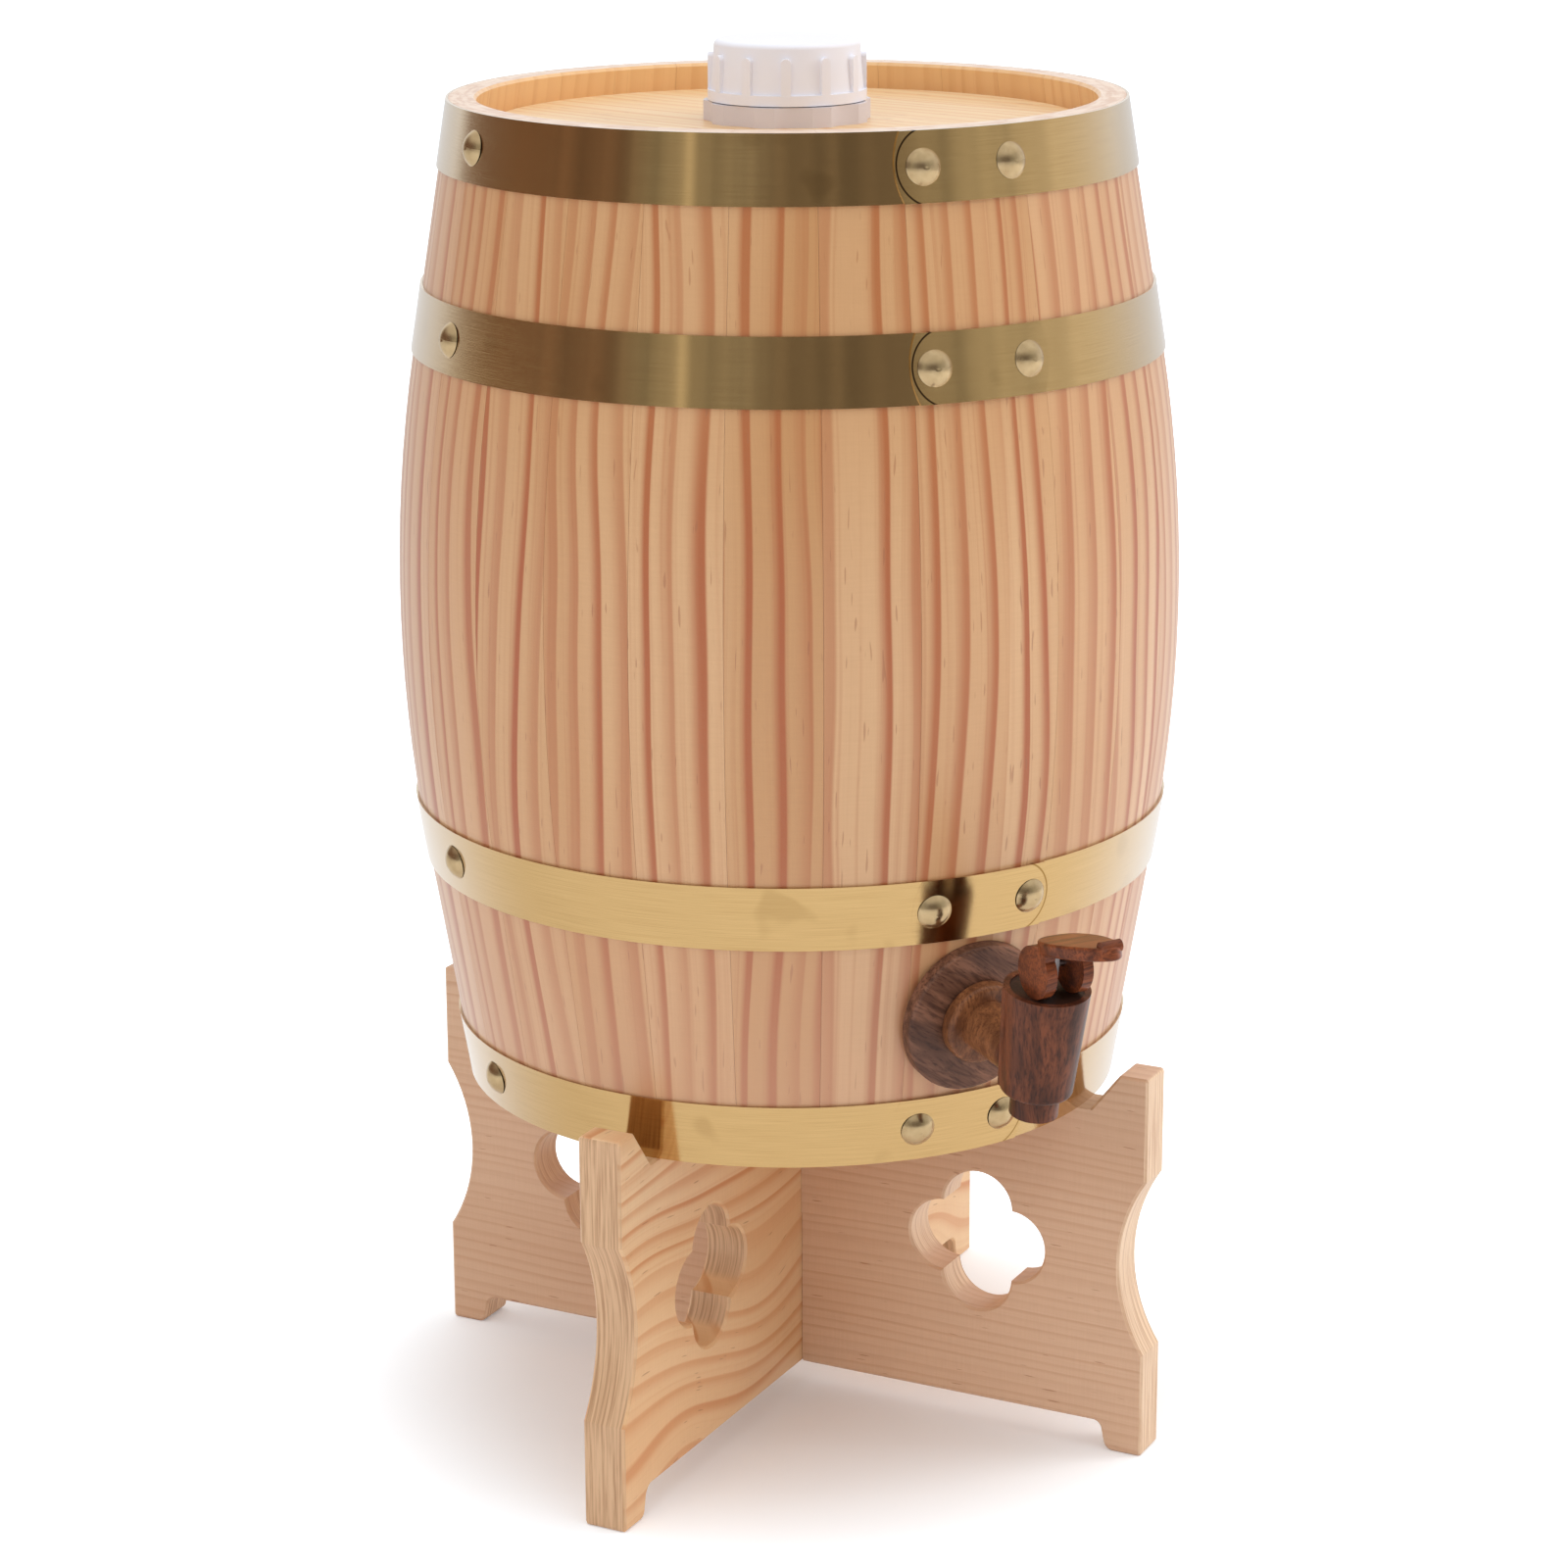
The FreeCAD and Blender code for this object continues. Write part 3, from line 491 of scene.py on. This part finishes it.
def hoop_material(middle, side):
    """Hoop whose centre line runs at one height; side says where its free end lies."""
    material, net, shader = new_material("hoop_satin_gold", 0.2, 1.0)
    angle, height, far = around_cask(net)
    brush = net.streaks((angle, height, 0.0), brush_rate, 2.0, 0.7)
    cloud = net.noise(net.place(), 22.0, 3.0, 0.6)
    smudge = net.band(net.noise(net.place(), 46.0, 1.0), 0.66, 0.74)
    gold = net.mix(net.band(brush, 0.35, 0.7), hoop_light, hoop_dark)
    gold = net.mix(net.mul(smudge, 0.25), gold, hoop_smudge)
    # Painted reflection: towards the edges seen from the lens, the gold is mixed towards a pale
    # sheen colour.
    slant = net.node("ShaderNodeLayerWeight", {"Blend": 0.5}).outputs["Facing"]
    gold = net.mix(net.mul(net.band(slant, 0.35, 0.85), 0.75), gold, hoop_painted_edge_sheen)

    # Painted shade: a thin line along the rounded end of the lap, dark on the upper two hoops and
    # softer on the lower two.
    across = net.sub(net.mul(net.mul(angle, far), side), lap_tip - lap_end_radius)
    off_line = net.sub(net.length(across, net.sub(height, middle)), lap_end_radius)
    line = net.mul(net.band(net.size(off_line), *lap_shade_edges),
                   net.math("GREATER_THAN", across, 0.0))
    at_tap = net.math("LESS_THAN", net.size(angle), lap_reach)
    gold = net.mix(net.mul(line, at_tap), gold, lap_painted_shade_dark if side < 0 else lap_painted_shade_soft)
    net.put(shader.inputs["Base Color"], gold)
    net.put(shader.inputs["Roughness"],
            net.add(net.scaled(cloud, 0.06, 0.1), net.mul(brush, 0.1)))
    shader.inputs["Anisotropic"].default_value = 0.7
    shader.inputs["Anisotropic Rotation"].default_value = 0.25
    bump(net, shader, brush, brush_depth, 0.4)
    return material


for hoop, side in (("hoop_bottom", 1.0), ("hoop_lower", 1.0),
                   ("hoop_upper", -1.0), ("hoop_top", -1.0)):
    hoop_low, hoop_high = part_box(hoop)
    dress([hoop], hoop_material((hoop_low.z + hoop_high.z) / 2, side))


def rivet_material():
    material, net, shader = new_material("rivet_polished", 0.2, 1.0)
    cloud = net.noise(net.place(), 300.0)
    net.put(shader.inputs["Base Color"], net.mix(cloud, rgb(214, 190, 148), rgb(178, 150, 108)))
    net.put(shader.inputs["Roughness"], net.scaled(cloud, 0.16, 0.32))
    return material


dress(["rivets_bottom", "rivets_lower", "rivets_upper", "rivets_top"], rivet_material())


def steel_material():
    material, net, shader = new_material("drawn_steel", 0.3, 1.0)
    cloud = net.noise(net.place(), 500.0)
    net.put(shader.inputs["Base Color"], net.mix(cloud, rgb(190, 190, 190), rgb(160, 160, 162)))
    return material


dress(["valve_spring", "lever_pin"], steel_material())

# %% [markdown]
# The closing spring: a copy of the valve spring with a mesh of its own, carried by the cask, while
# the valve spring is hidden.

# %%
def closing_spring():
    given = nodes["valve_spring"]
    made = bpy.data.objects.new("closing_spring", given.data.copy())
    made.matrix_world = given.matrix_world
    bpy.context.collection.objects.link(made)
    axis = Vector((0.0, -math.sin(tap_lean), math.cos(tap_lean)))
    heights = [axis.dot(given.matrix_world @ vertex.co) for vertex in given.data.vertices]
    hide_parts("valve_spring")
    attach(made, spring_body)
    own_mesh(made)


closing_spring()

# %% [markdown]
# Moulded plastics and rubber: (material, nodes, colour, shade, roughness, grain).

# %%
moulded_depth = 0.00003


def plastic_material(name, color, shade, roughness, grain):
    material, net, shader = new_material(name)
    fine = net.noise(net.place(), grain, 3.0, 0.6)
    slow = net.noise(net.place(), 40.0)
    net.put(shader.inputs["Base Color"], net.mix(net.scaled(slow, 0.0, 0.6), color, shade))
    net.put(shader.inputs["Roughness"], net.scaled(fine, roughness - 0.06, roughness + 0.08))
    bump(net, shader, fine, moulded_depth, 0.4)
    return material


for name, pieces, color, shade, roughness, grain in (
        ("cap_white_plastic", ["filler_cap"],
         rgb(243, 244, 252), rgb(234, 232, 240), 0.38, 1800.0),
        ("nut_white_plastic", ["neck_nut"],
         rgb(222, 216, 220), rgb(208, 200, 204), 0.4, 1800.0),
        ("tank_milky_plastic", ["inner_tank"],
         rgb(236, 236, 228), rgb(224, 224, 214), 0.45, 900.0),
        ("plunger_plastic", ["valve_plunger"],
         rgb(228, 228, 228), rgb(212, 212, 214), 0.4, 1500.0),
        ("seal_rubber", ["cap_seal", "boss_seal", "tap_washer", "stem_ring", "seat_seal"],
         rgb(92, 70, 60), rgb(76, 58, 50), 0.6, 1200.0)):
    dress(pieces, plastic_material(name, color, shade, roughness, grain))

# %% [markdown]
# Tap: dark wood-look film with fine streaks. Each piece has its own direction,
# tone and seed, and the hub and stem of the body are lighter than its barrel.

# %%
bend_rate = (40.0, 26.0, 40.0)
bend_reach = 0.009
broad_rate = (170.0, 14.0, 170.0)
fine_rate = (1000.0, 80.0, 1000.0)
speck_rate = (1500.0, 260.0, 1500.0)
speck_color = rgb(46, 26, 18)
stem_light = rgb(152, 98, 62)
stem_dark = rgb(90, 52, 32)
stem_squeeze = 4.0
film_shine = 0.26


def film_group():
    tree, given, result = new_group(
        "wood_look_film",
        [("Position", "vector"), ("Light", "color"), ("Dark", "color"), ("Seed", "float")],
        [("Color", "color"), ("Height", "float")])
    net = Net(tree)
    position, light, dark, seed = given.outputs[:4]
    across, along, depth = place = net.split(position)
    bend = net.streaks(place, bend_rate, 1.0, seed=seed)
    shifted = net.add(across, net.mul(net.sub(bend, 0.5), bend_reach))
    bent = (shifted, along, depth)
    broad = net.streaks(bent, broad_rate, 3.0, 0.6, seed)
    fine = net.streaks(bent, fine_rate, 3.0, 0.6, seed)
    speck = net.streaks(bent, speck_rate, 1.0, 0.6, seed)
    color = net.mix(net.scaled(net.band(broad, 0.36, 0.66), 0.25, 1.0), dark, light)
    color = net.mix(net.mul(net.band(fine, 0.42, 0.68), 0.75), color, dark)
    color = net.mix(net.mul(net.band(speck, 0.56, 0.72), 0.45), color, speck_color)
    net.put(result.inputs["Color"], color)
    net.put(result.inputs["Height"], fine)
    return tree


film = film_group()


def film_material(name, light, dark, seed, turn, roughness):
    """Film whose streaks run up the tap's body, turned in the face by an angle."""
    material, net, shader = new_material(name, roughness)
    x, y, z = net.split(net.place())
    up = net.dot((y, z), (-math.sin(tap_lean), math.cos(tap_lean)))
    angle = math.radians(turn)
    across = net.dot((x, up), (math.cos(angle), -math.sin(angle)))
    along = net.dot((x, up), (math.sin(angle), math.cos(angle)))
    if name == "film_body":
        inward = net.dot((y, z), (math.cos(tap_lean), math.sin(tap_lean)))
        stem = net.band(inward, stem_start, stem_full)
        light = net.mix(stem, light, stem_light)
        dark = net.mix(stem, dark, stem_dark)
        along = net.mul(along, net.scaled(stem, 1.0, stem_squeeze))
    wood = net.group(film, Position=net.join(across, along, y), Light=light, Dark=dark, Seed=seed)
    net.put(shader.inputs["Base Color"], wood.outputs["Color"])
    shader.inputs["Specular IOR Level"].default_value = film_shine
    bump(net, shader, wood.outputs["Height"], moulded_depth, 0.4)
    return material


dress(["tap_rosette"], film_material(
    "film_rosette", rgb(140, 96, 74), rgb(66, 40, 30), seed=2.0, turn=-55.0, roughness=0.4))
dress(["tap_body"], film_material(
    "film_body", rgb(126, 70, 45), rgb(50, 27, 20), seed=5.0, turn=0.0, roughness=0.32))
dress(["tap_bonnet"], film_material(
    "film_bonnet", rgb(70, 44, 34), rgb(40, 25, 20), seed=6.0, turn=0.0, roughness=0.45))
dress(["tap_lever"], film_material(
    "film_lever", rgb(148, 78, 44), rgb(68, 32, 19), seed=9.0, turn=80.0, roughness=0.31))

# %% [markdown]
# Studio floor: pale, and it keeps the shadow. The lens sees it a little lighter,
# more so away from the cask, so that it runs into the white backdrop.

# %%
floor_half_size = 60.0
floor_light = rgb(252, 252, 253)
floor_shade = rgb(250, 250, 252)
floor_lift = 0.05
beside_cask = (0.1, 0.26)
beside_lift = 0.6
out_of_shade = (0.6, 2.6)
far_lift = 0.16
lift_color = (0.78, 0.91, 1.0, 1.0)


def studio_floor():
    mesh = bpy.data.meshes.new("studio_floor")
    made = bmesh.new()
    bmesh.ops.create_grid(made, x_segments=1, y_segments=1, size=floor_half_size)
    made.to_mesh(mesh)
    made.free()
    floor = bpy.data.objects.new("studio_floor", mesh)
    bpy.context.collection.objects.link(floor)
    material = bpy.data.materials.new("floor_white")
    material.use_nodes = True
    material.node_tree.nodes.clear()
    net = Net(material.node_tree)
    cloud = net.noise(net.place(), 3.0)
    plain = net.node("ShaderNodeBsdfDiffuse", {"Color": net.mix(cloud, floor_light, floor_shade)})
    seen = net.node("ShaderNodeLightPath").outputs["Is Camera Ray"]
    middle = net.node("ShaderNodeVectorMath", {0: net.place(), 1: (0.0, axis_y, 0.0)},
                      operation="SUBTRACT").outputs["Vector"]
    reach = net.node("ShaderNodeVectorMath", {0: middle}, operation="LENGTH").outputs["Value"]
    lift_here = net.add(net.mul(net.band(reach, *beside_cask), beside_lift),
                        net.add(net.mul(net.band(reach, *out_of_shade), far_lift), floor_lift))
    lift = net.node("ShaderNodeEmission",
                    {"Color": lift_color, "Strength": net.mul(seen, lift_here)})
    both = net.node("ShaderNodeAddShader", {0: plain.outputs[0], 1: lift.outputs[0]})
    net.node("ShaderNodeOutputMaterial", {"Surface": both.outputs[0]})
    mesh.materials.append(material)


studio_floor()

# %% [markdown]
# Sky: the lens sees plain white. Other rays see white all round, dimmer in front.
# Metal mirrors a studio whose horizon is listed by degrees from the camera's side:
# a dim room in front with one bright gap, reddish at its left end, and white
# screens at both sides and behind.

# %%
camera_azimuth = -29.1
white = (1.0, 1.0, 1.0, 1.0)
dim_front = (0.28, 0.28, 0.29, 1.0)
sky_strength = 0.84
horizon_glow = (
    (-180, (0.95, 0.95, 0.95)), (-140, (0.9, 0.9, 0.9)), (-130, (0.3, 0.22, 0.18)),
    (-116, (0.22, 0.14, 0.11)), (-96, (0.22, 0.13, 0.1)), (-56, (0.19, 0.13, 0.11)),
    (-44, (0.34, 0.33, 0.31)), (-34, (0.36, 0.35, 0.33)), (-31.5, (1.0, 0.98, 0.92)),
    (-29, (0.34, 0.33, 0.31)), (-14, (0.32, 0.31, 0.3)), (-2, (0.2, 0.175, 0.16)),
    (34, (0.2, 0.175, 0.16)), (46, (0.34, 0.33, 0.31)), (70, (0.52, 0.52, 0.5)),
    (90, (0.66, 0.66, 0.66)), (97, (0.84, 0.85, 0.88)), (180, (0.95, 0.95, 0.95)))
streak_rate = (7.0, 1.0, 1.0)
streak_glow = (-0.4, 0.5)
above_heights = (0.3, 0.75)
above_share = 0.75
below_heights = (-0.05, -0.25)
streak_edges = (math.radians(110), math.radians(60))
front_edges = (math.radians(95), math.radians(30))
front_heights = (0.7, 0.2)


def studio_sky():
    world = bpy.data.worlds.new("studio")
    bpy.context.scene.world = world
    world.use_nodes = True
    world.node_tree.nodes.clear()
    net = Net(world.node_tree)
    x, y, z = net.split(net.node("ShaderNodeTexCoord").outputs["Generated"])
    turned = net.math("ARCTAN2", x, net.mul(y, -1.0))
    ahead = net.sub(turned, math.radians(camera_azimuth))
    aside = net.sub(net.math("FLOORED_MODULO", net.add(ahead, math.pi), 2 * math.pi), math.pi)
    spot = net.node("ShaderNodeMapRange",
                    {"Value": aside, "From Min": -math.pi, "From Max": math.pi})
    horizon = net.ramp(spot.outputs["Result"],
                       [((degrees + 180) / 360, color) for degrees, color in horizon_glow])
    streak = net.band(net.streaks((aside, 0.0, 0.0), streak_rate, 3.0, 0.7, 4.0), 0.3, 0.7)
    inner = net.band(net.size(aside), *streak_edges)
    glow = net.add(1.0, net.mul(inner, net.scaled(streak, *streak_glow)))
    horizon = net.mix(1.0, horizon, net.join(glow, glow, glow), "MULTIPLY")
    above = net.mul(net.band(z, *above_heights), above_share)
    below = net.band(z, *below_heights)
    mirrored = net.mix(net.math("MAXIMUM", above, below), horizon, white)
    front = net.mul(net.band(net.size(aside), *front_edges),
                    net.band(net.size(z), *front_heights))
    around = net.mix(front, white, dim_front)

    path = net.node("ShaderNodeLightPath").outputs
    plain, studio, backdrop = (
        net.node("ShaderNodeBackground", {"Color": color, "Strength": strength}).outputs[0]
        for color, strength in ((around, sky_strength), (mirrored, 1.0), (white, 1.0)))
    shiny = net.mix_shaders(path["Is Glossy Ray"], plain, studio)
    both = net.mix_shaders(path["Is Camera Ray"], shiny, backdrop)
    net.node("ShaderNodeOutputWorld", {"Surface": both})


studio_sky()

# %% [markdown]
# Soft lamps that metal doesn't mirror: (name, place, sides, watts).

# %%
lamp_target = Vector((0, 0, 0.3))
for name, place, sides, watts in (
        ("lamp_left", (-2.0, -1.2, 1.5), (1.4, 1.6), 10.0),
        ("lamp_right", (2.1, -0.9, 1.3), (1.2, 1.4), 18.0),
        ("lamp_top", (0.2, -0.2, 2.4), (1.6, 1.6), 10.0)):
    data = bpy.data.lights.new(name, "AREA")
    data.shape = "RECTANGLE"
    data.size, data.size_y = sides
    data.energy = watts
    made = bpy.data.objects.new(name, data)
    made.location = place
    made.rotation_euler = (lamp_target - Vector(place)).to_track_quat("-Z", "Y").to_euler()
    made.visible_glossy = False
    bpy.context.collection.objects.link(made)

# %% [markdown]
# Camera, fitted to the photograph.

# %%
camera_distance = 1.58042
camera_height = 0.70476
camera_yaw = 0.0901
camera_pitch = 15.7795
camera_roll = -0.2641
camera_lens = 93.677
camera_sensor = 36.0


def fitted_camera():
    data = bpy.data.cameras.new("camera")
    data.sensor_width = camera_sensor
    data.lens = camera_lens
    made = bpy.data.objects.new("camera", data)
    bpy.context.collection.objects.link(made)
    swing = math.radians(camera_azimuth)
    place = Vector((camera_distance * math.sin(swing),
                    axis_y - camera_distance * math.cos(swing), camera_height))
    turn = Matrix.Rotation(math.radians(camera_azimuth + camera_yaw), 4, "Z")
    tilt = Matrix.Rotation(math.radians(90.0 - camera_pitch), 4, "X")
    roll = Matrix.Rotation(math.radians(camera_roll), 4, "Z")
    made.matrix_world = Matrix.Translation(place) @ turn @ tilt @ roll
    bpy.context.scene.camera = made


fitted_camera()
bpy.context.scene.view_settings.view_transform = "Standard"
